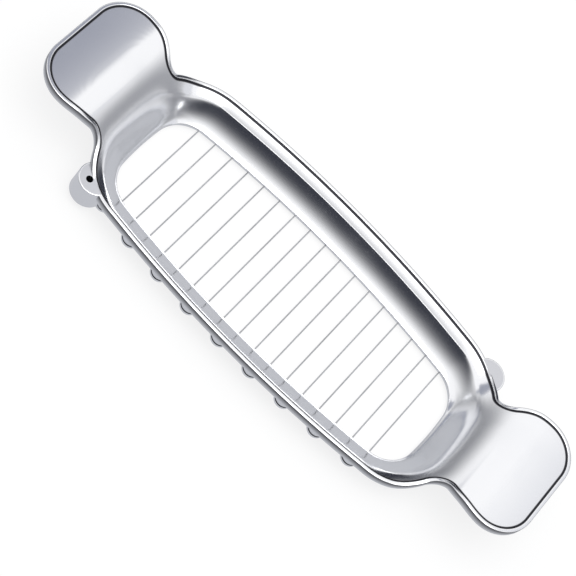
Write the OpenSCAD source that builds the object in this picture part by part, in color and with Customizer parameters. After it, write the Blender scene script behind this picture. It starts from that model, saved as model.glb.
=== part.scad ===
// Wire butter slicer: one cast frame with a handle at each end, and one wire strung to and fro across its opening.
// +X runs along the slicer, +Y to the far side, +Z up. The origin is on the resting plane under the middle.

/* [Cutting wire] */
// Thickness of one pat, from strand to strand
pat_t = 7.5; // [6.5:0.25:9]
// Number of strands across the opening
strand_count = 17; // [13:2:19]
// Diameter of the wire
wire_d = 0.5; // [0.3:0.05:0.6]
// Offset of the row of strands from the middle of the opening
strand_shift = -0.9; // [-1.5:0.1:1.5]
// Clearance between the wire and what holds it
wire_seat = 0.02; // [0.01:0.01:0.05]

/* [Opening] */
// Half of the opening's width at the middle
well_half_w = 25.9; // [22:0.1:30]
// Space between the last strand and the opening's end
end_space = 10.6; // [9:0.1:14]
// Radius of the bowed long sides
side_bow_r = 463; // [400:1:900]
// Radius of the slightly bowed ends
end_bow_r = 130; // [100:1:300]
// Radius of the opening's corners
corner_r = 13; // [10:0.5:15]

/* [Rim section] */
// Height of the upright land at the opening's lower edge
land_h = 1.3; // [0.8:0.1:2]
// Width of the wall in plan on the long sides
wall_w = 8; // [6:0.1:9]
// Width of the wall in plan at the ends
end_wall_w = 6.6; // [5:0.1:8]
// Height of the crease at the top of the wall, over the opening's lower edge
crease_h = 8.7; // [7:0.1:11]
// How much steeper the wall is at its top, where 1 is straight
wall_curve = 1.35; // [1:0.05:1.6]
// Width of the flange in plan between the crease and the lip
flange_w = 3.4; // [2.5:0.1:5]
// Rise of the flange from the crease to the lip
flange_rise = 2.45; // [1.5:0.05:3.5]
// Width of the raised lip
lip_w = 1.4; // [1:0.1:2]
// Step from the flange up to the lip
lip_step = 0.45; // [0.2:0.05:0.8]
// Height of the outer edge under the lip
edge_h = 3.6; // [2.5:0.1:4.5]
// Upright thickness of the cast wall and flange
cast_t = 3.3; // [2.5:0.1:4]
// Width of the flat foot under the wall
foot_w = 2.6; // [2.4:0.1:3.5]
// Bevel on the lip's outer edges
lip_bevel = 0.25; // [0.1:0.05:0.4]

/* [Handles] */
// Distance from the middle to the tip of each handle
handle_reach = 112.8; // [105:0.1:125]
// Half of the handle's greatest width
pad_half_w = 25.1; // [22:0.1:28]
// Radius of the tip's corners
tip_r = 14; // [11:0.5:16]
// Radius of the pad's sides
pad_side_r = 26; // [22:1:50]
// Radius of the hollow curve at the neck
neck_r = 4.5; // [3:0.25:7]
// Height that the handles rise over the rim
handle_rise = 13; // [8:0.5:18]
// Length over which the handles rise
rise_len = 24; // [20:1:36]
// Width over which the flange runs out into a handle
flange_run = 9; // [7:0.5:12]
// Distance inside the opening's end at which the rise starts
rise_lead = 0.6; // [0:0.1:2]

/* [Wire pegs] */
// Distance of the peg's middle from the opening's edge
peg_out = 5.7; // [5:0.1:6.5]
// Radius of the peg's foot
peg_foot_r = 3.4; // [3.2:0.05:3.6]
// Radius at the bottom of the peg's groove
groove_r = 2.6; // [2.2:0.05:2.8]
// Height of the peg's foot
peg_foot_h = 1.1; // [0.8:0.1:1.6]
// Space between the peg's foot and the wire
groove_play = 0.1; // [0.05:0.05:0.2]
// Height of the peg's groove
groove_h = 0.9; // [0.8:0.05:1.2]
// Clearance beside the wire in its notches
notch_play = 0.06; // [0.03:0.01:0.15]

/* [Clamps] */
// Distance of each ear's middle from the slicer's middle, along its length
ear_x = 71.6; // [70:0.1:73]
// Distance of each ear's middle from the slicer's middle line
ear_y = 29.2; // [28.5:0.1:30]
// Radius of the ears
ear_r = 6.35; // [6.2:0.05:7]
// Height of the ears' undersides over the opening's lower edge
ear_low = 1.5; // [1.5:0.1:3]
// Drop from the lip to the top of the ears
ear_drop = 0.4; // [0.2:0.1:1.5]
// Distance of the clamp screw from the ear's middle, away from the rim
screw_out = 2.4; // [2.2:0.1:2.6]
// Radius of the clamp screw
screw_r = 1.25; // [1:0.05:1.4]
// Running clearance of the screw in its tapped hole
screw_play = 0.05; // [0.02:0.01:0.1]
// Length of the screw under its head
screw_len = 7; // [5:0.5:10]
// Room past the screw's tip in the far ear's blind hole
tip_room = 1; // [0.5:0.1:1.5]
// Radius of the screw's head
head_r = 2.25; // [2:0.05:2.6]
// Height of the screw's head
head_h = 1.4; // [1.2:0.1:1.8]
// Width of the slot in the head
slot_w = 0.6; // [0.4:0.1:0.8]
// Depth of the slot in the head
slot_depth = 0.6; // [0.4:0.1:0.9]
// Radius of the washer
washer_r = 2.6; // [2.3:0.05:2.9]
// Thickness of the washer
washer_t = 0.5; // [0.3:0.05:0.6]
// Clearance of the washer round the screw
washer_play = 0.1; // [0.05:0.01:0.2]
// Gap between the washer and its neighbours
washer_gap = 0.05; // [0.03:0.01:0.1]

/* [Hidden] */

// Facets of round pieces, of the strands and of cuts round the rim's corners, sides of the bent wire
// and the turn from one of its rings to the next
round_fn = 64;
wire_fn = 24;
wire_sides = 8;
bend_step = 15;
rim_fn = 180;
// Steps of each stretch of a quarter of the rim: side, corner, neck, pad side, tip corner and tip
side_steps = 6;
corner_steps = 7;
neck_steps = 4;
pad_steps = 3;
tip_steps = 6;
end_steps = 2;
// Steps across the wall and the flange, above and below
wall_steps = 5;
flange_steps = 9;
under_steps = 5;

wire_r = wire_d / 2;
base_z = peg_foot_h + groove_play;
wire_z = base_z + wire_r;
well_half_l = (strand_count - 1) / 2 * pat_t + end_space;
lip_out = wall_w + flange_w + lip_w;
rise_x = well_half_l - rise_lead;
lip_z = base_z + crease_h + flange_rise + lip_step;
ear_top = lip_z - ear_drop;
ear_z = base_z + ear_low;
turn_r = groove_r + wire_r + wire_seat;

overlap = 0.3;
// Bend of the flange's section on the long sides, where 0 is straight and 1 ends level
flange_bend = 0.3;

// Middles of the arcs that bound the opening in the +X +Y quarter
side_c = [0, well_half_w - side_bow_r];
end_c = [well_half_l - end_bow_r, 0];
corner_c = meet(side_c, side_bow_r - corner_r, end_c, end_bow_r - corner_r, -1);
side_turn = atan2(corner_c.y - side_c.y, corner_c.x - side_c.x);
end_turn = atan2(corner_c.y - end_c.y, corner_c.x - end_c.x);

// Middles of the arcs that bound a handle, outside to inside
tip_c = [handle_reach - tip_r, pad_half_w - tip_r];
pad_c = [tip_c.x, pad_half_w - pad_side_r];
neck_c = meet(corner_c, corner_r + lip_out + neck_r, pad_c, pad_side_r + neck_r, 1);
neck_turn = atan2(neck_c.y - corner_c.y, neck_c.x - corner_c.x);
pad_turn = atan2(neck_c.y - pad_c.y, neck_c.x - pad_c.x);

// The near ear and its screw, the wire's loop round the screw, and the washer and head below it
ear_c = [-ear_x, -ear_y];
screw_c = ear_c + screw_out * (ear_c + corner_c) / norm(ear_c + corner_c);
loop_turn = 300;
loop_z = ear_z - wire_seat - wire_r;
washer_z = loop_z - wire_r - washer_gap - washer_t;
head_z = washer_z - washer_gap - head_h;

function strand_name(i) = str("wire_strand_", i < 10 ? "0" : "", i);
function strand_x(i) = (i - (strand_count + 1) / 2) * pat_t + strand_shift;
function dir(a) = [cos(a), sin(a)];
function ease(t) = let (s = min(max(t, 0), 1)) s * s * (3 - 2 * s);

// Where two circles meet, on the left of the line between their middles if side is 1
function meet(a, ra, b, rb, side) =
    let (
        d = norm(b - a),
        along = (d * d + ra * ra - rb * rb) / (2 * d),
        across = sqrt(ra * ra - along * along),
        u = (b - a) / d
    )
    a + along * u + side * across * [-u.y, u.x];

// Half of the opening's width at x, grown outwards by out
function half_w(x, out) =
    let (turn_x = corner_c.x + (corner_r + out) * cos(side_turn))
    abs(x) <= turn_x
        ? side_c.y + sqrt(pow(side_bow_r + out, 2) - x * x)
        : corner_c.y + sqrt(pow(corner_r + out, 2) - pow(abs(x) - corner_c.x, 2));

// Pegs on the near side, where shift moves the row along
function peg_x(k, shift) = (2 * k - strand_count / 2) * pat_t + shift;
function peg_c(k, shift) = let (x = peg_x(k, shift)) [x, -half_w(x, peg_out)];
last_peg = (strand_count - 1) / 2;

// A leg of the wire on the near side, from the opening's edge to where it touches the peg's groove
function leg_of(k, step, shift) =
    let (
        c = peg_c(k, shift),
        x = c.x + step * pat_t / 2,
        a = [x, -half_w(x, 0)],
        t = atan2(a.y - c.y, a.x - c.x) - step * acos(turn_r / norm(a - c))
    )
    [a, c + turn_r * dir(t), t];

// Stations along the opening's edge and the outer edge: a point and the way out of the frame
function arc(c, r, a, b, steps, flip = 1) =
    [for (i = [0 : steps - 1]) let (t = a + (b - a) * i / steps) [c + r * dir(t), flip * dir(t)]];
inner_quarter = concat(
    arc(side_c, side_bow_r, 90, side_turn, side_steps),
    arc(corner_c, corner_r, side_turn, neck_turn, corner_steps),
    arc(corner_c, corner_r, neck_turn, end_turn, neck_steps),
    arc(end_c, end_bow_r, end_turn, 0, pad_steps + tip_steps + end_steps)
);
outer_quarter = concat(
    arc(side_c, side_bow_r + lip_out, 90, side_turn, side_steps),
    arc(corner_c, corner_r + lip_out, side_turn, neck_turn, corner_steps),
    arc(neck_c, neck_r, neck_turn + 180, pad_turn + 180, neck_steps, -1),
    arc(pad_c, pad_side_r, pad_turn, 90, pad_steps),
    arc(tip_c, tip_r, 90, 0, tip_steps),
    [for (i = [0 : end_steps - 1]) [[handle_reach, tip_c.y * (1 - i / end_steps)], [1, 0]]]
);
inner_end = [[well_half_l, 0], [1, 0]];
outer_end = [[handle_reach, 0], [1, 0]];

function flip_y(s) = [[s[0].x, -s[0].y], [s[1].x, -s[1].y]];
function flip_x(s) = [[-s[0].x, s[0].y], [-s[1].x, s[1].y]];
function backwards(l) = [for (i = [len(l) - 1 : -1 : 0]) l[i]];
function right_half(q, last) = concat(q, [last], [for (s = backwards(q)) flip_y(s)]);
function loop_of(q, last) =
    let (r = right_half(q, last))
    concat(r, [for (i = [len(r) - 2 : -1 : 1]) flip_x(r[i])]);
inner_loop = loop_of(inner_quarter, inner_end);
outer_loop = loop_of(outer_quarter, outer_end);
stations = len(inner_loop);

function handle_lift(x) = handle_rise * ease((abs(x) - rise_x) / rise_len);
function wall_width(x) = wall_w + (end_wall_w - wall_w) * ease((abs(x) - corner_c.x) / corner_r);
// Rise of the flange at a share of its width, where bend is 0 for a straight one
function flange_shape(w, bend) = w * (1 + bend - bend * w);

// The section at one station, from the lower inner edge over the top and back under
function section(k) =
    let (
        i = inner_loop[k],
        o = outer_loop[k],
        ww = wall_width(i[0].x),
        crease = i[0] + ww * i[1],
        lip = o[0] - lip_w * o[1],
        on_handle = ease((abs(crease.x) - corner_c.x) / (well_half_l + end_wall_w - corner_c.x)),
        reach = flange_w + (flange_run - flange_w) * on_handle,
        bend = flange_bend + (1 - flange_bend) * on_handle,
        top_of = function (p) base_z + crease_h + handle_lift(p.x)
            + flange_rise * flange_shape(min(norm(p - crease) / reach, 1), bend),
        wall_top = top_of(crease) - base_z,
        wall_of = function (t) base_z + land_h + (wall_top - land_h) * pow(t, wall_curve),
        lip_top = top_of(lip) + lip_step,
        edge = o[0] - lip_bevel * o[1],
        at = function (p, z) [p.x, p.y, z]
    )
    concat(
        [at(i[0], base_z)],
        [for (j = [0 : wall_steps - 1]) let (t = j / wall_steps) at(i[0] + t * ww * i[1], wall_of(t))],
        [for (j = [0 : flange_steps - 1]) let (p = crease + (lip - crease) * j / flange_steps) at(p, top_of(p))],
        [at(lip, top_of(lip)), at(lip + lip_bevel / 2 * o[1], lip_top), at(edge, lip_top)],
        [at(o[0], lip_top - lip_bevel), at(o[0], lip_top + lip_bevel - edge_h), at(edge, lip_top - edge_h)],
        [for (j = [under_steps - 1 : -1 : 0])
            let (p = crease + (lip - crease) * j / under_steps) at(p, top_of(p) - cast_t)],
        [at(i[0] + foot_w * i[1] + (crease - i[0] - foot_w * i[1]) * 0.5,
            wall_of((foot_w / ww + 1) / 2) - cast_t)],
        [at(i[0] + foot_w * i[1], base_z)]
    );

module cast_shell() {
    rings = [for (k = [0 : stations - 1]) section(k)];
    m = len(rings[0]);
    points = [for (r = rings) for (p = r) p];
    function id(k, j) = (k % stations) * m + (j % m);
    faces = [for (k = [0 : stations - 1]) for (j = [0 : m - 1]) each [
        [id(k, j), id(k + 1, j + 1), id(k + 1, j)],
        [id(k, j), id(k, j + 1), id(k + 1, j + 1)]
    ]];
    polyhedron(points, faces);
}

// Height of the wall's top face at a distance out from the opening's edge
function wall_face(out) = base_z + land_h + (crease_h - land_h) * pow(out / wall_w, wall_curve);

// A peg under the rim: a foot, a groove for the wire and a boss up into the casting
module peg(k, shift) {
    c = peg_c(k, shift);
    boss_z = peg_foot_h + groove_h;
    tip_share = 0.2;
    translate([c.x, c.y, 0]) rotate_extrude($fn = round_fn) polygon([
        [0, 0], [peg_foot_r, 0], [peg_foot_r, peg_foot_h], [groove_r, peg_foot_h], [groove_r, boss_z],
        [peg_foot_r, boss_z], [peg_foot_r, wall_face(peg_out - peg_foot_r) - overlap],
        [tip_share * peg_foot_r, wall_face(peg_out - tip_share * peg_foot_r) - overlap],
        [0, wall_face(peg_out - tip_share * peg_foot_r) - overlap]
    ]);
}

// An ear beside the handle, cut back so that it stays out of the dish, with a web to the first peg
module ear(shift) {
    c = peg_c(0, shift);
    web_half = peg_foot_r / 2;
    web_h = wall_face(peg_out - web_half) - overlap - ear_z;
    difference() {
        union() {
            translate([ear_c.x, ear_c.y, ear_z])
                cylinder(r = ear_r, h = ear_top - ear_z, $fn = round_fn);
            translate([0, 0, ear_z]) linear_extrude(height = web_h) polygon([
                [ear_c.x, ear_c.y - ear_r / 2], [c.x, c.y - web_half],
                [c.x, c.y + web_half], [ear_c.x, ear_c.y]
            ]);
        }
        translate([-corner_c.x, -corner_c.y, wall_face(wall_w) - cast_t])
            cylinder(r = corner_r + wall_w, h = ear_top, $fn = rim_fn);
        translate([-corner_c.x, -corner_c.y, lip_z - edge_h + overlap])
            cylinder(r = corner_r + lip_out - lip_w / 2, h = ear_top, $fn = rim_fn);
    }
}

// The tapped hole for a clamp screw: right through the near ear, and blind in the far one
module tapped_hole(blind) {
    hole_top = blind ? head_z + head_h + screw_len + tip_room : ear_top + overlap;
    translate([screw_c.x, screw_c.y, ear_z - overlap])
        cylinder(r = screw_r + screw_play, h = hole_top - ear_z + overlap, $fn = round_fn);
}

// The slot that one leg of the wire runs through, in the foot of the wall
module notch(leg) {
    run = leg[1] - leg[0];
    w = wire_d + 2 * notch_play;
    translate([leg[0].x, leg[0].y, base_z - overlap])
        rotate([0, 0, atan2(run.y, run.x)])
            translate([-overlap, -w / 2, 0])
                cube([overlap + foot_w + 2 * wire_d, w, wire_d + notch_play + overlap]);
}

module side_solids(shift) {
    for (k = [0 : last_peg]) peg(k, shift);
    ear(shift);
}

module side_cuts(shift, blind) {
    for (k = [0 : last_peg]) {
        if (k > 0) notch(leg_of(k, -1, shift));
        notch(leg_of(k, 1, shift));
    }
    tapped_hole(blind);
}

// The cast frame: the shell with its pegs and ears, notched for the wire and tapped for the clamp screws
module frame() {
    color("silver") difference() {
        union() {
            cast_shell();
            side_solids(strand_shift);
            rotate([0, 0, 180]) side_solids(-strand_shift);
        }
        side_cuts(strand_shift, false);
        rotate([0, 0, 180]) side_cuts(-strand_shift, true);
    }
}

// One strand, straight across the opening
module wire_strand(i) {
    x = strand_x(i);
    color("gray") translate([x, -half_w(x, 0), wire_z]) rotate([-90, 0, 0])
        cylinder(r = wire_r, h = 2 * half_w(x, 0), $fn = wire_fn);
}

// Points of an arc at height z, with both its ends
function bend_points(c, r, z, from_a, to_a) =
    let (steps = ceil(abs(to_a - from_a) / bend_step))
    [for (i = [0 : steps]) let (p = c + r * dir(from_a + (to_a - from_a) * i / steps)) [p.x, p.y, z]];

function unit(v) = v / norm(v);
function way(path, i, last_way) =
    i == 0 ? unit(path[1] - path[0])
    : i == len(path) - 1 ? last_way
    : unit(unit(path[i] - path[i - 1]) + unit(path[i + 1] - path[i]));

// Wire along a path, as one closed tube whose ends face first_way and last_way
module tube(path, first_way, last_way) {
    n = len(path);
    rings = [for (i = [0 : n - 1])
        let (
            t = i == 0 ? first_way : way(path, i, last_way),
            across = unit(cross(t, [0, 0, 1])),
            up = cross(across, t)
        )
        for (j = [0 : wire_sides - 1])
            let (a = (j + 0.5) * 360 / wire_sides)
            path[i] + wire_r * (cos(a) * across + sin(a) * up)
    ];
    function id(i, j) = i * wire_sides + j % wire_sides;
    polyhedron(rings, concat(
        [[for (j = [0 : wire_sides - 1]) id(0, j)]],
        [for (i = [0 : n - 2]) for (j = [0 : wire_sides - 1]) each [
            [id(i, j), id(i + 1, j), id(i + 1, j + 1)],
            [id(i, j), id(i + 1, j + 1), id(i, j + 1)]
        ]],
        [[for (j = [wire_sides - 1 : -1 : 0]) id(n - 1, j)]]
    ));
}

function raise(p, z) = [p.x, p.y, z];

// The wire's turns round the pegs of the near side, from strand to strand
module wire_turns(shift) {
    color("gray") for (k = [1 : last_peg]) {
        left = leg_of(k, -1, shift);
        right = leg_of(k, 1, shift);
        tube(concat(
            [raise(left[0], wire_z)],
            bend_points(peg_c(k, shift), turn_r, wire_z, left[2], right[2] + 360),
            [raise(right[0], wire_z)]
        ), [0, -1, 0], [0, 1, 0]);
    }
}

// The wire's end: a loop under the ear round the clamp screw, then round the first peg to the first strand
module wire_tail(shift) {
    c = peg_c(0, shift);
    leg = leg_of(0, 1, shift);
    loop_r = screw_r + wire_r + wire_seat;
    run = c - screw_c;
    t = atan2(run.y, run.x) - acos((loop_r - turn_r) / norm(run));
    loop = bend_points(screw_c, loop_r, loop_z, t - loop_turn, t);
    past_washer = sqrt(pow(washer_r + wire_d, 2) - pow(loop_r, 2));
    off = screw_c + loop_r * dir(t) + past_washer * dir(t + 90);
    color("gray") tube(
        concat(loop, [raise(off, loop_z)], bend_points(c, turn_r, wire_z, t, leg[2]),
            [raise(leg[0], wire_z)]),
        unit(loop[1] - loop[0]), [0, 1, 0]
    );
}

// A slotted cheese-head screw, up through the washer and the wire's loop into the ear
module clamp_screw() {
    color("lightsteelblue") translate([screw_c.x, screw_c.y, head_z]) difference() {
        union() {
            cylinder(r = head_r, h = head_h, $fn = round_fn);
            cylinder(r = screw_r, h = head_h + screw_len, $fn = round_fn);
        }
        translate([-head_r - overlap, -slot_w / 2, -overlap])
            cube([2 * (head_r + overlap), slot_w, slot_depth + overlap]);
    }
}

module clamp_washer() {
    color("lightsteelblue") translate([screw_c.x, screw_c.y, washer_z]) difference() {
        cylinder(r = washer_r, h = washer_t, $fn = round_fn);
        translate([0, 0, -overlap])
            cylinder(r = screw_r + washer_play, h = washer_t + 2 * overlap, $fn = round_fn);
    }
}

frame();
for (i = [1 : strand_count]) {
    wire_strand(i);
}
wire_turns(strand_shift);  // wire_turns_near
rotate([0, 0, 180]) wire_turns(-strand_shift);  // wire_turns_far
wire_tail(strand_shift);  // wire_tail_a
rotate([0, 0, 180]) wire_tail(-strand_shift);  // wire_tail_b
clamp_screw();  // clamp_screw_a
rotate([0, 0, 180]) clamp_screw();  // clamp_screw_b
clamp_washer();  // clamp_washer_a
rotate([0, 0, 180]) clamp_washer();  // clamp_washer_b
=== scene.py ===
"""Looks of the wire butter slicer, a mirror-plated casting with a handle at each end and one steel wire."""

import math

import bmesh
import bpy
from mathutils import Matrix, Vector


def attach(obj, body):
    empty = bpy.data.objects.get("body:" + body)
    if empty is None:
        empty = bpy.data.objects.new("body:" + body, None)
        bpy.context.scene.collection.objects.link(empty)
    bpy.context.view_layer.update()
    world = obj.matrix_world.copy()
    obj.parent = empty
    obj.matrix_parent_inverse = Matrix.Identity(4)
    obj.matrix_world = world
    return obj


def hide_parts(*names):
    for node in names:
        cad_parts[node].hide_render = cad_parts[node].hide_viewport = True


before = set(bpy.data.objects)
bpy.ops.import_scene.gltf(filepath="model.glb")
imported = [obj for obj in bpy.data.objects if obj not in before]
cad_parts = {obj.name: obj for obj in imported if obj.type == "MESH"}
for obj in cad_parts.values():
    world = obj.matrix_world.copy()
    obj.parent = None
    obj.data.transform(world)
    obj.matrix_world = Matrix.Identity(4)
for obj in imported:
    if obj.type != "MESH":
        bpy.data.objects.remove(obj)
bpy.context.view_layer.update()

# Sizes in millimetres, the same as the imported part's.
# Pieces are shaped in millimetres and scaled once at the end.
MM = 0.001
PAT, STRANDS, WIRE_R, ROW_SHIFT, SEAT = 7.5, 17, 0.25, -0.9, 0.02
WELL_W, END_SPACE, SIDE_BOW, END_BOW, CORNER_R = 25.9, 10.6, 463.0, 130.0, 13.0
LAND, WALL, END_WALL, CREASE_H, WALL_CURVE = 1.3, 8.0, 6.6, 8.7, 1.35
FLANGE, FLANGE_RISE, LIP, LIP_STEP, EDGE_H, CAST_T, FOOT = 3.4, 2.45, 1.4, 0.45, 3.6, 3.3, 2.6
REACH, PAD_W, TIP_R, PAD_SIDE, NECK_R = 112.8, 25.1, 14.0, 26.0, 4.5
HANDLE_RISE, RISE_LEN, FLANGE_RUN, RISE_LEAD, FLANGE_BEND = 13.0, 24.0, 9.0, 0.6, 0.3
PEG_OUT, PEG_R, GROOVE_R, PEG_FOOT, GROOVE_PLAY, GROOVE_H, NOTCH_PLAY = 5.7, 3.4, 2.6, 1.1, 0.1, 0.9, 0.06
EAR, EAR_R, EAR_LOW, EAR_DROP, SCREW_OUT = Vector((-71.6, -29.2)), 6.35, 1.5, 0.4, 2.4
SCREW_R, SCREW_PLAY, SCREW_LEN, HEAD_R, HEAD_H, SLOT_W, SLOT_DEPTH = 1.25, 0.05, 7.0, 2.25, 1.4, 0.6, 0.6
WASHER_R, WASHER_T, WASHER_PLAY, WASHER_GAP, LOOP_TURN, TIP_ROOM = 2.6, 0.5, 0.1, 0.05, 300.0, 1.0
PITCH, THREAD_DEPTH = 0.45, 0.2
# How far joined shapes run into each other, and how far cutters rise past what they cut
SINK, CLEAR = 0.3, 5.0
# Share of a peg's radius at the tip of its boss
TIP_SHARE = 0.2

BASE = PEG_FOOT + GROOVE_PLAY
WIRE_Z = BASE + WIRE_R
WELL_L = (STRANDS - 1) / 2 * PAT + END_SPACE
LIP_OUT = WALL + FLANGE + LIP
LIP_Z = BASE + CREASE_H + FLANGE_RISE + LIP_STEP
EAR_Z, EAR_TOP = BASE + EAR_LOW, LIP_Z - EAR_DROP
TURN_R = GROOVE_R + WIRE_R + SEAT
LAST_PEG = (STRANDS - 1) // 2
WASHER_Z = EAR_Z - SEAT - 2 * WIRE_R - WASHER_GAP - WASHER_T
HEAD_Z = WASHER_Z - WASHER_GAP - HEAD_H

# Small roundings that the polishing leaves, and the weights that ease the handles' crease
ROLL, ROLL_LEN, LEVEL_OFF, CREASE_EASE = 0.05, 0.12, 0.1, 3.2
EASE_WEIGHTS = (1, 6, 15, 20, 15, 6, 1)
SOFT = 0.2
HALF_TURN = Matrix.Rotation(math.pi, 4, "Z")
# Each long side as a turn of the near one, with the shift of its row of pegs
NEAR, FAR = (Matrix.Identity(4), ROW_SHIFT), (HALF_TURN, -ROW_SHIFT)


# Plan of the casting

def way_of(degrees):
    return Vector((math.cos(math.radians(degrees)), math.sin(math.radians(degrees))))


def upto(p, z):
    return Vector((p.x, p.y, z))


def ease(share):
    s = min(max(share, 0.0), 1.0)
    return s * s * (3 - 2 * s)


def meet(a, ra, b, rb, side):
    """Where two circles meet, on the left of the line between their middles if side is 1."""
    gap = (b - a).length
    along = (gap * gap + ra * ra - rb * rb) / (2 * gap)
    across = math.sqrt(ra * ra - along * along)
    u = (b - a) / gap
    return a + along * u + side * across * Vector((-u.y, u.x))


def turn_to(a, b):
    return math.degrees(math.atan2(b.y - a.y, b.x - a.x))


SIDE_C = Vector((0, WELL_W - SIDE_BOW))
END_C = Vector((WELL_L - END_BOW, 0))
CORNER_C = meet(SIDE_C, SIDE_BOW - CORNER_R, END_C, END_BOW - CORNER_R, -1)
TIP_C = Vector((REACH - TIP_R, PAD_W - TIP_R))
PAD_C = Vector((TIP_C.x, PAD_W - PAD_SIDE))
NECK_C = meet(CORNER_C, CORNER_R + LIP_OUT + NECK_R, PAD_C, PAD_SIDE + NECK_R, 1)
SIDE_TURN, END_TURN = turn_to(SIDE_C, CORNER_C), turn_to(END_C, CORNER_C)
NECK_TURN, PAD_TURN = turn_to(CORNER_C, NECK_C), turn_to(PAD_C, NECK_C)
SCREW_C = EAR + SCREW_OUT * (EAR + CORNER_C).normalized()


def arc(middle, radius, start, end, steps, inward=False):
    """Points along an arc, each with the way out of the frame."""
    ways = [way_of(start + (end - start) * k / steps) for k in range(steps)]
    return [(middle + radius * w, -w if inward else w) for w in ways]


def flip(stations, x, y):
    turned = Vector((x, y))
    return [(p * turned, w * turned) for p, w in stations]


def all_round(quarter, last):
    right = quarter + [last] + flip(quarter[::-1], 1, -1)
    return right + flip(right[-2:0:-1], -1, 1)


SIDE_N, CORNER_N, NECK_N, PAD_N, TIP_N, END_N = 48, 26, 18, 18, 26, 12
inner_edge = all_round(
    arc(SIDE_C, SIDE_BOW, 90, SIDE_TURN, SIDE_N)
    + arc(CORNER_C, CORNER_R, SIDE_TURN, NECK_TURN, CORNER_N)
    + arc(CORNER_C, CORNER_R, NECK_TURN, END_TURN, NECK_N)
    + arc(END_C, END_BOW, END_TURN, 0, PAD_N + TIP_N + END_N),
    (Vector((WELL_L, 0)), Vector((1, 0))),
)
outer_edge = all_round(
    arc(SIDE_C, SIDE_BOW + LIP_OUT, 90, SIDE_TURN, SIDE_N)
    + arc(CORNER_C, CORNER_R + LIP_OUT, SIDE_TURN, NECK_TURN, CORNER_N)
    + arc(NECK_C, NECK_R, NECK_TURN + 180, PAD_TURN + 180, NECK_N, inward=True)
    + arc(PAD_C, PAD_SIDE, PAD_TURN, 90, PAD_N)
    + arc(TIP_C, TIP_R, 90, 0, TIP_N)
    + [(Vector((REACH, TIP_C.y * (1 - k / END_N))), Vector((1, 0))) for k in range(END_N)],
    (Vector((REACH, 0)), Vector((1, 0))),
)


def wall_width(x):
    return WALL + (END_WALL - WALL) * ease((abs(x) - CORNER_C.x) / CORNER_R)


def nearest_edge(p):
    """The opening's edge nearest to a point of the +X +Y quarter, and the way out there."""
    if turn_to(SIDE_C, p) >= SIDE_TURN:
        middle, radius = SIDE_C, SIDE_BOW
    elif turn_to(END_C, p) <= END_TURN:
        middle, radius = END_C, END_BOW
    else:
        middle, radius = CORNER_C, CORNER_R
    w = (p - middle).normalized()
    return middle + radius * w, w


def handle_share(edge, w):
    """0 where the wall's top belongs to a long side, 1 in the middle of a handle."""
    return ease((edge.x + wall_width(edge.x) * w.x - CORNER_C.x) / (WELL_L + END_WALL - CORNER_C.x))


def top_z(p):
    """Height of the flange and the handle over a point of the plan."""
    q = Vector((abs(p.x), abs(p.y)))
    edge, w = nearest_edge(q)
    width, on_handle = wall_width(edge.x), handle_share(edge, w)
    past = max((q - edge).dot(w) - width, 0.0)
    run = FLANGE + (FLANGE_RUN - FLANGE) * on_handle
    bend = FLANGE_BEND + (1 - FLANGE_BEND) * on_handle
    share, beyond = min(past / run, 1.0), max(past / run - 1.0, 0.0)
    risen = ease((q.x - WELL_L + RISE_LEAD) / RISE_LEN)
    level = (1 - bend) * (1 - math.exp(-beyond / LEVEL_OFF)) * LEVEL_OFF * (1 - risen)
    rise = share * (1 + bend - bend * share) + level
    roll = ROLL * (1 - math.exp(-past / ROLL_LEN)) * (1 - share) * (1 - on_handle)
    return BASE + CREASE_H + HANDLE_RISE * risen + FLANGE_RISE * rise - roll


def face_z(edge, w, out):
    """Height of the dish's face, wall and flange alike, at a distance out from the opening's edge."""
    width = wall_width(edge.x)
    if out > width:
        return top_z(edge + out * w)
    return BASE + LAND + (top_z(edge + width * w) - BASE - LAND) * (max(out, 0.0) / width) ** WALL_CURVE


def eased_z(p):
    """The face's height with its crease polished away on the handles."""
    q = Vector((abs(p.x), abs(p.y)))
    edge, w = nearest_edge(q)
    out = (q - edge).dot(w)
    reach = min(CREASE_EASE * handle_share(edge, w), max(out, 0.0))
    if reach == 0:
        return face_z(edge, w, out)
    half = len(EASE_WEIGHTS) // 2
    places = [out + reach * (k - half) / half for k in range(len(EASE_WEIGHTS))]
    heights = [share * face_z(edge, w, at) for share, at in zip(EASE_WEIGHTS, places)]
    return sum(heights) / sum(EASE_WEIGHTS)


def half_w(x, out):
    """Half of the opening's width at x, grown outwards by out."""
    turn_x = CORNER_C.x + (CORNER_R + out) * way_of(SIDE_TURN).x
    if abs(x) <= turn_x:
        return SIDE_C.y + math.sqrt((SIDE_BOW + out) ** 2 - x * x)
    return CORNER_C.y + math.sqrt((CORNER_R + out) ** 2 - (abs(x) - CORNER_C.x) ** 2)


def wall_face(out):
    return BASE + LAND + (CREASE_H - LAND) * (out / WALL) ** WALL_CURVE


# Points of a section along the wall and the flange, and the section's points that get painted shade: a dark
# line in the corner inside the lip and under its outer edge, where shade and dark reflections fall
WALL_N, FLANGE_N = 18, 16
LIP_FOOT = 6 + WALL_N + FLANGE_N
LIP_EDGE = LIP_FOOT + 11
DARK = {LIP_FOOT: 0.9, LIP_FOOT + 1: 1.0, LIP_FOOT + 2: 1.0, LIP_FOOT + 3: 1.0, LIP_FOOT + 4: 0.7,
        LIP_EDGE: 0.75, LIP_EDGE + 1: 0.9, LIP_EDGE + 4: 0.5}


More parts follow.
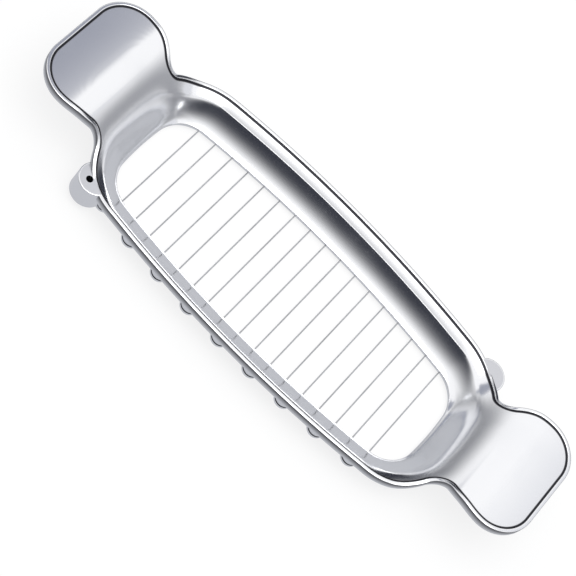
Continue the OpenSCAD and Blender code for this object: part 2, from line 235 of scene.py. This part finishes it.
def rim_section(edge, w, outer, side):
    """One section of the rim: up the land and the wall, over the flange and the lip, and back under."""
    width = wall_width(edge.x)
    crease = edge + width * w
    lip = outer - LIP * side
    crease_z, flange_z = top_z(crease), eased_z(lip)
    lip_z = flange_z + LIP_STEP
    ring = [upto(edge + a * w, BASE + b) for a, b in ((SOFT, 0), (0.06, 0.06), (0, SOFT))]
    ring += [upto(edge + a * w, BASE + LAND - b) for a, b in ((0, 0.24), (0.05, 0.07))]
    first = SOFT / width
    for k in range(WALL_N + 1):
        p = edge + (first + (1 - first) * k / WALL_N) * width * w
        ring.append(upto(p, eased_z(p)))
    for k in range(1, FLANGE_N + 1):
        p = crease + (lip - 0.85 * side - crease) * (k / FLANGE_N) ** 1.5
        ring.append(upto(p, eased_z(p)))
    for a in (0.65, 0.5, 0.14):
        ring.append(upto(lip - a * side, eased_z(lip - a * side)))
    for a, b in ((0.0, 0.06), (0.03, 0.22), (0.08, 0.34), (0.18, 0.42), (0.34, 0.45)):
        ring.append(upto(lip + a * side, flange_z + b))
    for a, b in ((0.5, 0), (0.3, 0.03), (0.14, 0.1), (0.04, 0.22), (0, 0.4)):
        ring.append(upto(outer - a * side, lip_z - b))
    for a, b in ((0, 0.4), (0.05, 0.2), (0.17, 0.06), (0.4, 0)):
        ring.append(upto(outer - a * side, lip_z - EDGE_H + b))
    for k in range(10):
        p = lip + (crease - lip) * k / 10
        ring.append(upto(p, top_z(p) - CAST_T))
    foot = edge + FOOT * w
    for k in range(9):
        u = 1 - k / 8
        up = ((FOOT + (width - FOOT) * u) / width) ** WALL_CURVE
        wall_z = BASE + LAND + (crease_z - BASE - LAND) * up
        ring.append(upto(foot + (crease - foot) * u, max(wall_z - CAST_T, BASE)))
    return ring


# Workshop helpers

def piece(bm, name, body, slot, finish, *nodes):
    """Turns a shape in millimetres into a finished piece in metres that rides on a body."""
    bmesh.ops.scale(bm, vec=(MM, MM, MM), verts=bm.verts)
    for f in bm.faces:
        f.smooth = True
    mesh = bpy.data.meshes.new(name)
    bm.to_mesh(mesh)
    bm.free()
    obj = bpy.data.objects.new(name, mesh)
    bpy.context.scene.collection.objects.link(obj)
    mesh.materials.append(finish)
    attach(obj, body)
    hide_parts(*nodes)
    return obj


def crisp(obj, degrees=35):
    """Keeps true corners sharp and lets the flat faces hold their own shade."""
    bm = bmesh.new()
    bm.from_mesh(obj.data)
    for e in bm.edges:
        if len(e.link_faces) == 2 and e.calc_face_angle() > math.radians(degrees):
            e.smooth = False
    bm.to_mesh(obj.data)
    bm.free()
    weighted = obj.modifiers.new("even_shade", "WEIGHTED_NORMAL")
    weighted.keep_sharp = True
    return obj


def add_shape(bm, mesh, matrix):
    """Sets a copy of a finished shape into bm."""
    before = set(bm.verts)
    bm.from_mesh(mesh)
    bmesh.ops.transform(bm, matrix=matrix, verts=[v for v in bm.verts if v not in before])


def as_mesh(bm, name):
    mesh = bpy.data.meshes.new(name)
    bm.to_mesh(mesh)
    bm.free()
    return mesh


def round_shape(profile, steps, name, dark_low=0.0, dark_high=0.0):
    """Spins a profile of radius and height into a closed shape with painted shade between two heights."""
    bm = bmesh.new()
    verts = [bm.verts.new((r, 0, z)) for r, z in profile]
    edges = [bm.edges.new(pair) for pair in zip(verts, verts[1:])]
    bmesh.ops.spin(bm, geom=verts + edges, cent=(0, 0, 0), axis=(0, 0, 1), dvec=(0, 0, 0),
                   angle=math.tau, steps=steps, use_merge=True, use_duplicate=False)
    bmesh.ops.remove_doubles(bm, verts=bm.verts, dist=1e-4)
    bmesh.ops.recalc_face_normals(bm, faces=bm.faces)
    dark = bm.verts.layers.float.new("painted_shade")
    for v in bm.verts:
        v[dark] = 0.95 if dark_low < v.co.z < dark_high else 0.0
    return as_mesh(bm, name)


def cylinder(middle, radius, low, high, steps=96):
    bm = bmesh.new()
    bmesh.ops.create_cone(bm, cap_ends=True, segments=steps, radius1=radius, radius2=radius, depth=high - low,
                          matrix=Matrix.Translation((middle.x, middle.y, (low + high) / 2)))
    return as_mesh(bm, "cutter")


def carve(mesh, cutters):
    """Cuts shapes out of a mesh and gives the carved mesh."""
    obj = bpy.data.objects.new("blank", mesh)
    bpy.context.scene.collection.objects.link(obj)
    tools = []
    for cutter in cutters:
        tool = bpy.data.objects.new("tool", cutter)
        bpy.context.scene.collection.objects.link(tool)
        cut = obj.modifiers.new("cut", "BOOLEAN")
        cut.operation, cut.solver, cut.object = "DIFFERENCE", "EXACT", tool
        tools.append(tool)
    bpy.context.view_layer.update()
    carved = bpy.data.meshes.new_from_object(obj.evaluated_get(bpy.context.evaluated_depsgraph_get()))
    for o in tools + [obj]:
        bpy.data.objects.remove(o)
    return carved


# Finishes

class Amount:
    """A number that changes over a surface. Sums on it add Math nodes."""

    def __init__(self, finish, socket):
        self.finish, self.socket = finish, socket

    def math(self, operation, a, b):
        node = self.finish.node("ShaderNodeMath", {"operation": operation}, {0: a, 1: b})
        return Amount(self.finish, node.outputs[0])

    def __add__(self, other):
        return self.math("ADD", self, other)

    def __radd__(self, other):
        return self.math("ADD", other, self)

    def __sub__(self, other):
        return self.math("SUBTRACT", self, other)

    def __rsub__(self, other):
        return self.math("SUBTRACT", other, self)

    def __mul__(self, other):
        return self.math("MULTIPLY", self, other)

    def __rmul__(self, other):
        return self.math("MULTIPLY", other, self)

    def over(self, other):
        return self.math("MAXIMUM", self, other)

    def step(self, low, high):
        """0 below low and 1 above high, eased between."""
        node = self.finish.node("ShaderNodeMapRange", {"interpolation_type": "SMOOTHSTEP"},
                                {"Value": self, "From Min": low, "From Max": high})
        return Amount(self.finish, node.outputs["Result"])


class Finish:
    """One material, built from nodes."""

    def __init__(self, name):
        self.material = bpy.data.materials.new(name)
        self.material.use_nodes = True
        self.tree = self.material.node_tree
        self.tree.nodes.clear()
        self.end = self.node("ShaderNodeOutputMaterial")

    def node(self, kind, settings=None, sockets=None):
        made = self.tree.nodes.new(kind)
        for key, value in (settings or {}).items():
            setattr(made, key, value)
        for key, value in (sockets or {}).items():
            if isinstance(value, Amount):
                value = value.socket
            if isinstance(value, bpy.types.NodeSocket):
                self.tree.links.new(value, made.inputs[key])
            else:
                made.inputs[key].default_value = value
        return made

    def place(self, stretch=(1, 1, 1), shift=(0, 0, 0)):
        """Object coordinates, moved by shift in metres and then scaled."""
        found = self.node("ShaderNodeTexCoord").outputs["Object"]
        return self.node("ShaderNodeMapping", {"vector_type": "POINT"},
                         {"Vector": found, "Location": [-s * k for s, k in zip(shift, stretch)],
                          "Scale": stretch}).outputs["Vector"]

    def noise(self, place, scale, detail=3.0, roughness=0.5):
        made = self.node("ShaderNodeTexNoise", {"noise_dimensions": "3D"},
                         {"Vector": place, "Scale": scale, "Detail": detail, "Roughness": roughness})
        return Amount(self, made.outputs[0])

    def colour(self, share, a, b):
        made = self.node("ShaderNodeMix", {"data_type": "RGBA"}, {"Factor": share})
        for socket, value in ((made.inputs[6], a), (made.inputs[7], b)):
            if isinstance(value, bpy.types.NodeSocket):
                self.tree.links.new(value, socket)
            else:
                socket.default_value = (*value, 1)
        return made.outputs[2]

    def within(self, middle, radius, soft):
        """1 within a radius in metres of an upright axis, fading over soft."""
        flat = self.place((1, 1, 0), (middle.x * MM, middle.y * MM, 0))
        made = self.node("ShaderNodeVectorMath", {"operation": "LENGTH"}, {0: flat})
        return 1 - Amount(self, made.outputs["Value"]).step(radius + soft / 4, radius + soft)

    def bump(self, height, distance, strength=1.0):
        return self.node("ShaderNodeBump", None,
                         {"Height": height, "Distance": distance, "Strength": strength}).outputs["Normal"]

    def metal(self, **sockets):
        names = {"color": "Base Color", "roughness": "Roughness", "normal": "Normal"}
        made = self.node("ShaderNodeBsdfPrincipled", None,
                         {"Metallic": 1.0, **{names[k]: v for k, v in sockets.items()}})
        self.tree.links.new(made.outputs["BSDF"], self.end.inputs["Surface"])
        return self.material


def plated_finish():
    """Mirror plating over a polished casting: bright above, duller and slightly grainy underneath, with
    painted shade near black in the screw bores, the lip's corners and the peg grooves.
    """
    f = Finish("mirror_plating")
    upright = Amount(f, f.node("ShaderNodeSeparateXYZ", None,
                               {0: f.node("ShaderNodeNewGeometry").outputs["Normal"]}).outputs["Z"])
    below = 1 - upright.step(-0.55, -0.1)
    cloud = f.noise(f.place(), 45, 3)
    mop = f.noise(f.place((0.25, 1, 1)), 900, 4, 0.6)
    grain = f.noise(f.place(), 2600, 3, 0.6)
    haze = cloud.step(0.45, 0.75)
    # Painted shade: the walls inside the clamp screws' holes are coloured near black
    hole, hole_fade = (SCREW_R + SCREW_PLAY) * MM, 0.00006
    in_hole = f.within(SCREW_C, hole, hole_fade).over(f.within(-SCREW_C, hole, hole_fade))
    bore_shade = in_hole * (1 - upright.step(0.4, 0.8))
    from_top = f.node("ShaderNodeSeparateXYZ", None, {0: f.place((1, 1, 1), (0, 0, EAR_TOP * MM))})
    off_top = Amount(f, from_top.outputs["Z"])
    level = (1 - off_top.over(0 - off_top).step(0.0001, 0.0002)) * upright.step(0.9, 0.97)
    ear, ear_fade = (EAR_R - 0.6) * MM, 0.0001
    faced = f.within(EAR, ear, ear_fade).over(f.within(-EAR, ear, ear_fade)) * level
    # Painted shade, set per vertex: the dark line in the lip's inner corner and under its outer edge, and the
    # peg grooves
    shade_paint = Amount(f, f.node("ShaderNodeAttribute", {"attribute_name": "painted_shade"}).outputs["Fac"])
    roughness = 0.13 + 0.04 * haze + 0.03 * mop + 0.2 * below + 0.1 * below * grain + 0.4 * bore_shade + 0.2 * faced
    relief = 0.03 * mop + 0.5 * below * grain
    bright = f.colour(haze, (0.88, 0.885, 0.9), (0.85, 0.857, 0.875))
    plain = f.colour(faced, f.colour(below, bright, (0.6, 0.605, 0.62)), (0.6, 0.605, 0.63))
    # Painted shade: near black in the screw bores and wherever the per-vertex shade is set
    tone = f.colour(bore_shade.over(shade_paint), plain, (0.03, 0.03, 0.035))
    return f.metal(color=tone, roughness=roughness + 0.2 * shade_paint, normal=f.bump(relief, 0.00004, 0.5))


def drawn_finish(name, stretch, tone):
    """Drawn steel wire, with fine lines along it and a few darker stretches."""
    f = Finish(name)
    lines = f.noise(f.place(stretch), 4200, 3, 0.6)
    stain = f.noise(f.place(), 70, 3).step(0.42, 0.75)
    return f.metal(color=f.colour(stain, tone, [c * 0.8 for c in tone]),
                   roughness=0.2 + 0.16 * lines + 0.08 * stain, normal=f.bump(lines, 0.00001, 0.5))


def turned_finish(name, middle):
    """Turned steel, with fine rings round the screw's axis."""
    f = Finish(name)
    place = f.place((1, 1, 1), (middle.x * MM, middle.y * MM, 0))
    rings = Amount(f, f.node("ShaderNodeTexWave", {"wave_type": "RINGS", "rings_direction": "Z"},
                             {"Vector": place, "Scale": 1400, "Distortion": 1.5, "Detail": 2.0}).outputs[0])
    stain = f.noise(place, 600, 3).step(0.4, 0.8)
    return f.metal(color=f.colour(stain, (0.66, 0.665, 0.68), (0.5, 0.505, 0.515)),
                   roughness=0.22 + 0.1 * rings + 0.1 * stain, normal=f.bump(rings, 0.000015, 0.4))


WIRE_TONE = (0.5, 0.505, 0.52)
plating = plated_finish()
strand_steel = drawn_finish("drawn_wire", (1, 0.05, 1), WIRE_TONE)
bent_steel = drawn_finish("bent_wire", (0.5, 0.5, 1), WIRE_TONE)


# The casting

def peg_x(k, shift):
    return (2 * k - STRANDS / 2) * PAT + shift


def peg_c(k, shift):
    x = peg_x(k, shift)
    return Vector((x, -half_w(x, PEG_OUT)))


def leg_of(k, step, shift):
    """A leg of wire, from the opening's edge to where it touches the peg's groove, and the angle there."""
    c = peg_c(k, shift)
    x = c.x + step * PAT / 2
    a = Vector((x, -half_w(x, 0)))
    t = turn_to(c, a) - step * math.degrees(math.acos(TURN_R / (a - c).length))
    return a, c + TURN_R * way_of(t), t


def rim_shell():
    """The open dish with its lip and handles: one section drawn all the way round and closed on itself."""
    stations = [(*i, *o) for i, o in zip(inner_edge, outer_edge)]
    bm = bmesh.new()
    dark = bm.verts.layers.float.new("painted_shade")
    first = rim_section(*stations[0])
    ring = [bm.verts.new(p) for p in first]
    # Painted shade along the lip's inner corner and under its outer edge, per section point
    for k, share in DARK.items():
        ring[k][dark] = share
    edges = [bm.edges.new((ring[k - 1], ring[k])) for k in range(len(ring))]
    for station in stations[1:] + stations[:1]:
        row = {v: k for k, v in enumerate(ring)}
        made = bmesh.ops.extrude_edge_only(bm, edges=edges)["geom"]
        edges = [g for g in made if isinstance(g, bmesh.types.BMEdge)]
        for v in [g for g in made if isinstance(g, bmesh.types.BMVert)]:
            k = next(row[e.other_vert(v)] for e in v.link_edges if e.other_vert(v) in row)
            ring[k] = v
        edges = [e for e in edges if e.verts[0] not in row and e.verts[1] not in row]
        for v, p in zip(ring, rim_section(*station)):
            v.co = p
        for k, share in DARK.items():
            ring[k][dark] = share
    bmesh.ops.remove_doubles(bm, verts=bm.verts, dist=1e-4)
    bmesh.ops.recalc_face_normals(bm, faces=bm.faces)
    return as_mesh(bm, "rim")


def peg_shape():
    inner_z, tip = wall_face(PEG_OUT - PEG_R) - SINK, TIP_SHARE * PEG_R
    tip_z = wall_face(PEG_OUT - tip) - SINK
    boss = PEG_FOOT + GROOVE_H
    # The groove between the foot and the boss, where the wire runs, gets painted shade
    return round_shape([
        (0, 0), (PEG_R - 0.3, 0), (PEG_R - 0.08, 0.08), (PEG_R, 0.3), (PEG_R, PEG_FOOT - 0.2),
        (PEG_R - 0.08, PEG_FOOT - 0.05), (PEG_R - 0.25, PEG_FOOT), (GROOVE_R + 0.1, PEG_FOOT),
        (GROOVE_R, PEG_FOOT + 0.1), (GROOVE_R, boss - 0.1), (GROOVE_R + 0.1, boss), (PEG_R - 0.2, boss),
        (PEG_R - 0.05, boss + 0.05), (PEG_R, boss + 0.2), (PEG_R, inner_z),
        (tip, tip_z), (0, tip_z),
    ], 40, "peg", PEG_FOOT - 0.01, boss + 0.01)


def notch_block(leg):
    """The block that is cut from the foot of the wall for one leg of wire."""
    start, end, _ = leg
    run = (end - start).normalized()
    long, wide, high = SINK + FOOT + 4 * WIRE_R, 2 * (WIRE_R + NOTCH_PLAY), 2 * WIRE_R + NOTCH_PLAY + SINK
    middle = start + run * (long / 2 - SINK)
    return (Matrix.Translation((middle.x, middle.y, BASE - SINK + high / 2))
            @ Matrix.Rotation(math.atan2(run.y, run.x), 4, "Z") @ Matrix.Diagonal((long, wide, high, 1)))


def notch_blocks():
    bm = bmesh.new()
    for turn, shift in (NEAR, FAR):
        for k in range(LAST_PEG + 1):
            for step in (-1, 1)[k == 0:]:
                bmesh.ops.create_cube(bm, size=1, matrix=turn @ notch_block(leg_of(k, step, shift)))
    return as_mesh(bm, "notches")


def ear_boss(hole_top):
    """The round boss beside a handle, cleared for the dish and the lip and bored for its clamp screw."""
    bm = bmesh.new()
    bmesh.ops.create_cone(bm, cap_ends=True, segments=96, radius1=EAR_R, radius2=EAR_R, depth=EAR_TOP - EAR_Z,
                          matrix=Matrix.Translation((EAR.x, EAR.y, (EAR_TOP + EAR_Z) / 2)))
    rims = [e for e in bm.edges if abs(e.verts[0].co.z - e.verts[1].co.z) < 1e-6]
    bmesh.ops.bevel(bm, geom=rims, offset=0.35, offset_type="OFFSET", segments=4, profile=0.5, affect="EDGES",
                    material=-1)
    low = -CORNER_C
    return carve(as_mesh(bm, "ear"), [
        cylinder(low, CORNER_R + WALL, wall_face(WALL) - CAST_T, EAR_TOP + CLEAR),
        cylinder(low, CORNER_R + LIP_OUT - LIP / 2, LIP_Z - EDGE_H + SINK, EAR_TOP + CLEAR, 360),
        cylinder(SCREW_C, SCREW_R + SCREW_PLAY, EAR_Z - 1, hole_top, 48),
    ])


def ear_web():
    """The web from an ear's boss to the first peg."""
    c, half = peg_c(0, ROW_SHIFT), PEG_R / 2
    high = wall_face(PEG_OUT - half) - SINK - EAR_Z
    bm = bmesh.new()
    corners = [(EAR.x - 1.5, EAR.y - EAR_R * 0.78), (c.x, c.y - half), (c.x, c.y + half), (EAR.x, EAR.y)]
    floor = bmesh.ops.contextual_create(bm, geom=[bm.verts.new((x, y, EAR_Z)) for x, y in corners])["faces"]
    top = bmesh.ops.extrude_face_region(bm, geom=floor)["geom"]
    bmesh.ops.translate(bm, vec=(0, 0, high), verts=[g for g in top if isinstance(g, bmesh.types.BMVert)])
    bmesh.ops.bevel(bm, geom=bm.edges[:], offset=0.3, offset_type="OFFSET", segments=3, profile=0.5,
                    affect="EDGES", material=-1)
    bmesh.ops.recalc_face_normals(bm, faces=bm.faces)
    return as_mesh(bm, "web")


def casting():
    bm = bmesh.new()
    shell = carve(rim_shell(), [notch_blocks()])
    add_shape(bm, shell, Matrix.Identity(4))
    peg, web = peg_shape(), ear_web()
    through, blind = EAR_TOP + 1, HEAD_Z + HEAD_H + SCREW_LEN + TIP_ROOM
    for (turn, shift), hole_top in ((NEAR, through), (FAR, blind)):
        for k in range(LAST_PEG + 1):
            c = peg_c(k, shift)
            add_shape(bm, peg, turn @ Matrix.Translation((c.x, c.y, 0)))
        add_shape(bm, ear_boss(hole_top), turn)
        add_shape(bm, web, turn)
    return crisp(piece(bm, "cast_frame", "slicer", "frame_chrome", plating, "frame"))


# The wire

def wire_face(way):
    """A turn that sets a flat ring square to the wire's way."""
    across = way.cross(Vector((0, 0, 1))).normalized()
    return Matrix((across, across.cross(way).normalized(), -way)).transposed().to_4x4()


def draw_wire(bm, path, first_way, last_way, sides=16):
    """Wire along a path, closed at both ends, with its ends square to the given ways."""
    ways = [(path[min(k + 1, len(path) - 1)] - path[k]).normalized() for k in range(len(path))]
    ways = [first_way] + [(ways[k - 1] + ways[k]).normalized() for k in range(1, len(path) - 1)] + [last_way]
    seats = [Matrix.Translation(p) @ wire_face(w) for p, w in zip(path, ways)]
    ring = bmesh.ops.create_circle(bm, cap_ends=True, radius=WIRE_R, segments=sides, matrix=seats[0])["verts"]
    edges = list({e for v in ring for e in v.link_edges})
    for old, new in zip(seats, seats[1:]):
        made = bmesh.ops.extrude_edge_only(bm, edges=edges)["geom"]
        fresh = [g for g in made if isinstance(g, bmesh.types.BMVert)]
        edges = [g for g in made if isinstance(g, bmesh.types.BMEdge) and all(v in fresh for v in g.verts)]
        bmesh.ops.transform(bm, matrix=new @ old.inverted(), verts=fresh)
    bmesh.ops.edgeloop_fill(bm, edges=edges)


def bend(c, radius, z, start, end):
    steps = math.ceil(abs(end - start) / 6)
    return [upto(c + radius * way_of(start + (end - start) * k / steps), z) for k in range(steps + 1)]


def wire_piece(bm, name, *nodes):
    bmesh.ops.recalc_face_normals(bm, faces=bm.faces)
    return crisp(piece(bm, name, "slicer", "wire_steel", bent_steel, *nodes), 50)


def strand(i):
    x = (i - (STRANDS + 1) / 2) * PAT + ROW_SHIFT
    long = 2 * half_w(x, 0)
    bm = bmesh.new()
    bmesh.ops.create_cone(bm, cap_ends=True, segments=20, radius1=WIRE_R, radius2=WIRE_R, depth=long,
                          matrix=Matrix.Translation((x, 0, WIRE_Z)) @ Matrix.Rotation(math.pi / 2, 4, "X"))
    number = f"{i:02d}"
    return crisp(piece(bm, f"strand_{number}", "slicer", "wire_steel", strand_steel,
                       f"wire_strand_{number}"), 50)


def wire_turns(name, turn, shift):
    bm = bmesh.new()
    out, back = Vector((0, -1, 0)), Vector((0, 1, 0))
    for k in range(1, LAST_PEG + 1):
        left, right = leg_of(k, -1, shift), leg_of(k, 1, shift)
        path = bend(peg_c(k, shift), TURN_R, WIRE_Z, left[2], right[2] + 360)
        draw_wire(bm, [upto(left[0], WIRE_Z), *path, upto(right[0], WIRE_Z)], out, back)
    bmesh.ops.transform(bm, matrix=turn, verts=bm.verts)
    return wire_piece(bm, "turns_" + name, "wire_turns_" + name)


def wire_tail(name, turn, shift):
    """The wire's end: its loop round the clamp screw, then round the first peg to the first strand."""
    c, leg = peg_c(0, shift), leg_of(0, 1, shift)
    loop_z, loop_r = EAR_Z - SEAT - WIRE_R, SCREW_R + WIRE_R + SEAT
    t = turn_to(SCREW_C, c) - math.degrees(math.acos((loop_r - TURN_R) / (c - SCREW_C).length))
    past = math.sqrt((WASHER_R + 2 * WIRE_R) ** 2 - loop_r ** 2)
    loop = bend(SCREW_C, loop_r, loop_z, t - LOOP_TURN, t)
    off = upto(SCREW_C + loop_r * way_of(t) + past * way_of(t + 90), loop_z)
    bm = bmesh.new()
    draw_wire(bm, [*loop, off, *bend(c, TURN_R, WIRE_Z, t, leg[2]), upto(leg[0], WIRE_Z)],
              (loop[1] - loop[0]).normalized(), Vector((0, 1, 0)))
    bmesh.ops.transform(bm, matrix=turn, verts=bm.verts)
    return wire_piece(bm, "tail_" + name, "wire_tail_" + name)


# Clamp screws and washers

def thread():
    """A right-hand thread, one ridge wound up the shank, with its ends run into the core."""
    bm = bmesh.new()
    root, turns, steps = SCREW_R - THREAD_DEPTH, int((SCREW_LEN - 1.2) / PITCH), 24
    profile = [(root - 0.1, 0), (root, 0.02), (SCREW_R, PITCH * 0.44), (SCREW_R, PITCH * 0.56),
               (root, PITCH - 0.02), (root - 0.1, PITCH)]
    verts = [bm.verts.new((r, 0, z)) for r, z in profile]
    edges = [bm.edges.new((verts[k - 1], verts[k])) for k in range(len(verts))]
    bmesh.ops.contextual_create(bm, geom=edges)
    bmesh.ops.spin(bm, geom=bm.faces[:] + bm.edges[:] + bm.verts[:], cent=(0, 0, 0), axis=(0, 0, 1),
                   dvec=(0, 0, PITCH / steps), angle=math.tau * turns, steps=steps * turns, use_merge=False,
                   use_duplicate=False)
    bmesh.ops.recalc_face_normals(bm, faces=bm.faces)
    return as_mesh(bm, "thread")


def screw(name, turn):
    top = HEAD_H + SCREW_LEN
    root = SCREW_R - THREAD_DEPTH
    blank = round_shape([
        (0, 0), (HEAD_R - 0.3, 0), (HEAD_R - 0.1, 0.06), (HEAD_R - 0.02, 0.2), (HEAD_R, 0.35),
        (HEAD_R, HEAD_H - 0.1), (HEAD_R - 0.1, HEAD_H), (SCREW_R, HEAD_H), (SCREW_R, HEAD_H + 0.6),
        (root, HEAD_H + 0.8), (root, top - 0.35), (root - 0.35, top), (0, top),
    ], 48, "blank")
    slot = bmesh.new()
    bmesh.ops.create_cube(slot, size=1, matrix=Matrix.Translation((0, 0, SLOT_DEPTH / 2 - 0.5))
                          @ Matrix.Diagonal((2 * HEAD_R + 1, SLOT_W, SLOT_DEPTH + 1, 1)))
    bm = bmesh.new()
    add_shape(bm, carve(blank, [as_mesh(slot, "slot")]), Matrix.Identity(4))
    add_shape(bm, thread(), Matrix.Translation((0, 0, HEAD_H + 0.5)))
    middle = SCREW_C if name == "a" else -SCREW_C
    bmesh.ops.transform(bm, matrix=turn @ Matrix.Translation((SCREW_C.x, SCREW_C.y, HEAD_Z)), verts=bm.verts)
    return crisp(piece(bm, "screw_" + name, "screw_" + name, "screw_steel",
                       turned_finish("turned_screw_" + name, middle), "clamp_screw_" + name), 40)


def washer(name, turn):
    hole, rim = SCREW_R + WASHER_PLAY, WASHER_R
    bm = bmesh.new()
    profile = [
        (hole, 0.06), (hole + 0.06, 0), (rim - 0.12, 0), (rim - 0.03, 0.04), (rim, 0.13),
        (rim, WASHER_T - 0.13), (rim - 0.03, WASHER_T - 0.04), (rim - 0.12, WASHER_T),
        (hole + 0.06, WASHER_T), (hole, WASHER_T - 0.06), (hole, 0.06),
    ]
    seat = turn @ Matrix.Translation((SCREW_C.x, SCREW_C.y, WASHER_Z))
    add_shape(bm, round_shape(profile, 64, "ring"), seat)
    middle = SCREW_C if name == "a" else -SCREW_C
    return crisp(piece(bm, "washer_" + name, "washer_" + name, "screw_steel",
                       turned_finish("turned_washer_" + name, middle), "clamp_washer_" + name), 40)


casting()
for i in range(1, STRANDS + 1):
    strand(i)
wire_turns("near", *NEAR)
wire_turns("far", *FAR)
wire_tail("a", *NEAR)
wire_tail("b", *FAR)
for name, (turn, _) in (("a", NEAR), ("b", FAR)):
    screw(name, turn)
    washer(name, turn)


# Table, light and camera

def flat_piece(name, width, depth, matrix):
    bm = bmesh.new()
    bmesh.ops.create_grid(bm, x_segments=1, y_segments=1, size=0.5,
                          matrix=Matrix.Diagonal((width, depth, 1, 1)))
    bmesh.ops.transform(bm, matrix=matrix, verts=bm.verts)
    obj = bpy.data.objects.new(name, as_mesh(bm, name))
    bpy.context.scene.collection.objects.link(obj)
    return obj


def table_finish():
    """Pale table: near white to the camera, dimmer in the metal, with the object's soft shadow."""
    f = Finish("table")
    path = f.node("ShaderNodeLightPath")
    to_camera, in_metal = (Amount(f, path.outputs[f"Is {kind} Ray"]) for kind in ("Camera", "Glossy"))
    seen = (0.8 * to_camera).over(0.12 * in_metal)
    glow = f.node("ShaderNodeEmission", None, {"Color": (1, 1, 1, 1), "Strength": 1.0})
    matt = f.node("ShaderNodeBsdfDiffuse", None, {"Color": (0.93, 0.93, 0.93, 1)})
    mix = f.node("ShaderNodeMixShader", None, {0: seen, 1: matt.outputs[0], 2: glow.outputs[0]})
    f.tree.links.new(mix.outputs[0], f.end.inputs["Surface"])
    return f.material


table = flat_piece("table", 6, 6, Matrix.Translation((0, 0, -0.0002)))
table.data.materials.append(table_finish())


def card(name, width, depth, middle, facing, tone, blur):
    """A soft-edged card over the set, seen only in the metal."""
    middle = Vector(middle)
    turn = (Vector(facing) - middle).to_track_quat("Z", "Y").to_matrix().to_4x4()
    obj = flat_piece(name, width, depth, Matrix.Identity(4))
    obj.matrix_world = Matrix.Translation(middle) @ turn
    f = Finish(name)
    at = f.node("ShaderNodeSeparateXYZ", None, {0: f.node("ShaderNodeTexCoord").outputs["Object"]})
    inside = 1
    for axis, size in (("X", width), ("Y", depth)):
        along = Amount(f, at.outputs[axis])
        edge = along.over(0 - along) * (2 / size)
        inside = (1 - edge.step(1 - blur, 1)) * inside
    glow = f.node("ShaderNodeEmission", None, {"Color": (*tone, 1), "Strength": 1.0})
    clear = f.node("ShaderNodeBsdfTransparent")
    mix = f.node("ShaderNodeMixShader", None, {0: inside, 1: clear.outputs[0], 2: glow.outputs[0]})
    f.tree.links.new(mix.outputs[0], f.end.inputs["Surface"])
    obj.data.materials.append(f.material)
    obj.visible_camera = obj.visible_diffuse = obj.visible_shadow = False
    return obj


card("low_left_card", 0.4, 0.14, (-0.285, 0.087, 0.165), (-0.285, 0.087, 0), (0.35, 0.365, 0.43), 0.22)
card("low_right_card", 0.3, 0.2, (0.27, 0.098, 0.165), (0.27, 0.098, 0), (0.8, 0.81, 0.85), 0.2)
card("sheet_below", 1.2, 1.2, (0, 0, -0.0001), (0, 0, 1), (0.57, 0.58, 0.615), 0.5)


def key_light(name, place, size, power):
    lamp = bpy.data.lights.new(name, "AREA")
    lamp.shape, lamp.size, lamp.energy = "DISK", size, power
    obj = bpy.data.objects.new(name, lamp)
    bpy.context.scene.collection.objects.link(obj)
    obj.location = place
    obj.rotation_mode = "QUATERNION"
    obj.rotation_quaternion = (-Vector(place)).to_track_quat("-Z", "Y")
    return obj


key_light("overhead_softbox", (0.1, -0.15, 1.0), 0.9, 4.0)

world = bpy.data.worlds.new("studio")
bpy.context.scene.world = world
world.use_nodes = True


class Surround(Finish):
    """The studio's walls and ceiling, as the world."""

    def __init__(self, world):
        self.tree = world.node_tree
        self.tree.nodes.clear()
        self.end = self.node("ShaderNodeOutputWorld")


studio = Surround(world)
way = studio.node("ShaderNodeSeparateXYZ", None, {0: studio.node("ShaderNodeTexCoord").outputs["Generated"]})
across, depth, height = (Amount(studio, way.outputs[axis]) for axis in "XYZ")
seen = Amount(studio, studio.node("ShaderNodeLightPath").outputs["Is Camera Ray"])
dim = (1 - depth.step(-0.7, 0.3)).over(depth.step(0.6, 0.9))
side = studio.colour(across.step(0.0, 0.6), (0.2, 0.205, 0.225), (0.37, 0.375, 0.4))
low = studio.colour(dim, side, (0.033, 0.036, 0.05))
raised = 0.4 * (0 - depth).over(0) + 0.8 * (depth - 0.6).over(0) - 0.15 * (0 - across).over(0)
walls = studio.colour((height - raised).step(0.1, 0.55), low, (1.06, 1.06, 1.07))
back = studio.node("ShaderNodeBackground", None,
                   {"Color": studio.colour(seen, walls, (1, 1, 1)), "Strength": 1.0})
studio.tree.links.new(back.outputs[0], studio.end.inputs["Surface"])

# The camera stands where the photograph was taken.
# Its pull is in pixels, its turns in degrees and its place in millimetres.
PULL, FRAME_PX, SENSOR = 2200.0, 576, 36.0
LEAN, ROLL_TURN, SWING, SHIFT = 33.89, -44.28, 1.75, Vector((-1.38, -1.17, -763.0))
turn = (Matrix.Rotation(math.radians(ROLL_TURN), 3, "Z") @ Matrix.Rotation(math.radians(-LEAN), 3, "X")
        @ Matrix.Rotation(math.radians(SWING), 3, "Y"))
lens = bpy.data.cameras.new("camera")
lens.sensor_width, lens.lens = SENSOR, PULL * SENSOR / FRAME_PX
lens.clip_start, lens.clip_end = 0.01, 20
camera = bpy.data.objects.new("camera", lens)
bpy.context.scene.collection.objects.link(camera)
place = turn.transposed() @ -SHIFT + Vector((0, 0, BASE))
camera.matrix_world = Matrix.Translation(place * MM) @ turn.transposed().to_4x4()
bpy.context.scene.camera = camera
bpy.context.scene.view_settings.view_transform = "Standard"
